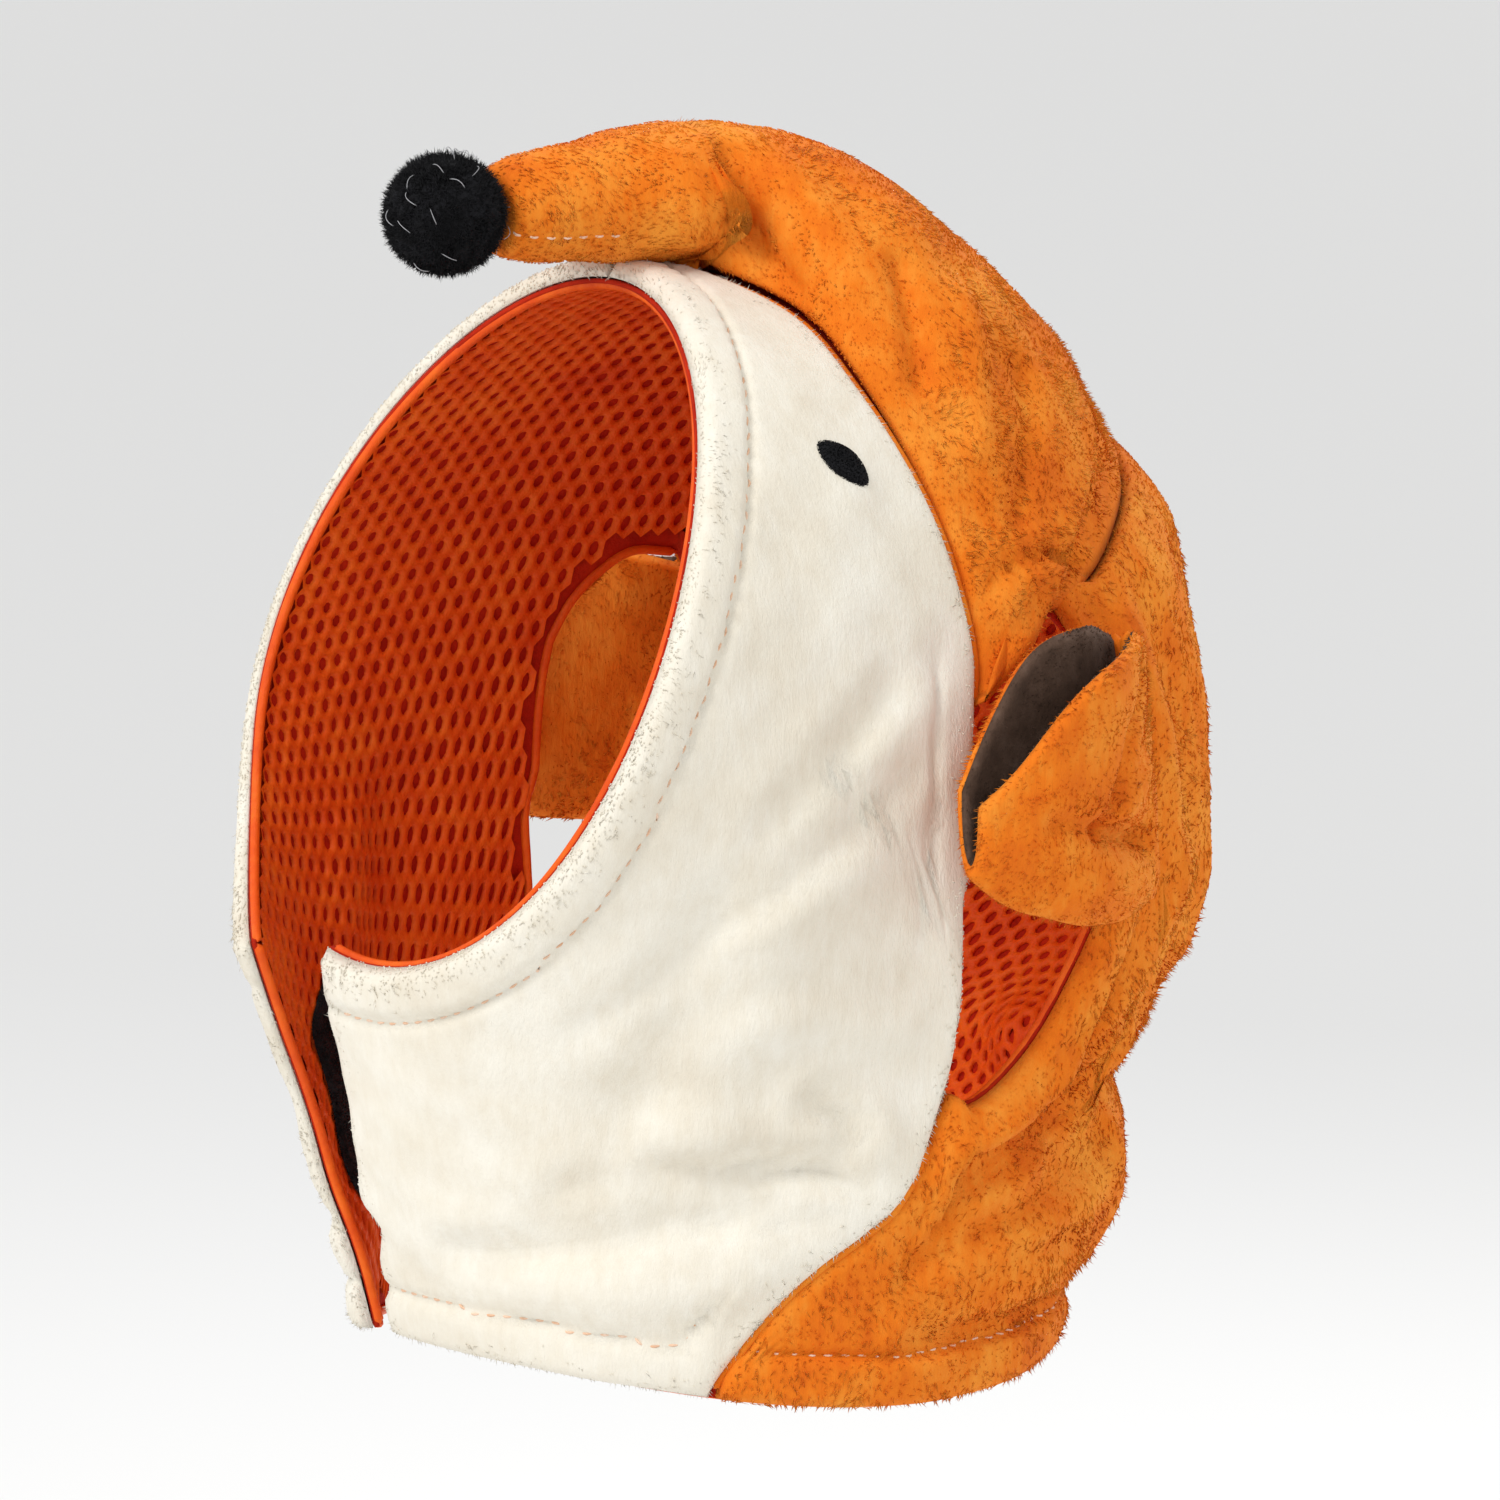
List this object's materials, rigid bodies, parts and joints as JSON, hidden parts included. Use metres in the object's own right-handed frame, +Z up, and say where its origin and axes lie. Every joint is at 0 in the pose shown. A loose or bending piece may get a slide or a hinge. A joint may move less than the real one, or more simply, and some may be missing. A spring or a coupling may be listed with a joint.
{
  "type": "dog hat",
  "caption": "Plush dog hood shaped as a fox's head, with a rolled snout, pompom nose, cupped ears, ear slots, mesh lining and a chin flap.",
  "frame": {"origin": "where the crown of the dog's head meets the lining, on the hood's middle plane", "axes": "+Z up, the dog faces -Y, +X is the dog's left"},
  "size_m": [0.1788, 0.2012, 0.2352],
  "materials": {
    "cream_plush": "short-pile plush",
    "orange_plush": "short-pile plush",
    "mesh_lining": "knitted air mesh",
    "black_wool": "fuzzy yarn and felt",
    "brown_felt": "napped felt",
    "black_tape": "hook tape"
  },
  "bodies": {
    "root": {"cheek_left": "cream_plush", "cheek_right": "cream_plush", "back_panel": "orange_plush", "snout": "orange_plush", "lining": "mesh_lining", "nose_pompom": "black_wool", "eye_left": "black_wool", "eye_right": "black_wool", "ear_left_outer": "orange_plush", "ear_right_outer": "orange_plush", "ear_left_inner": "brown_felt", "ear_right_inner": "brown_felt", "hook_patch": "black_tape"}
  },
  "joints": []
}
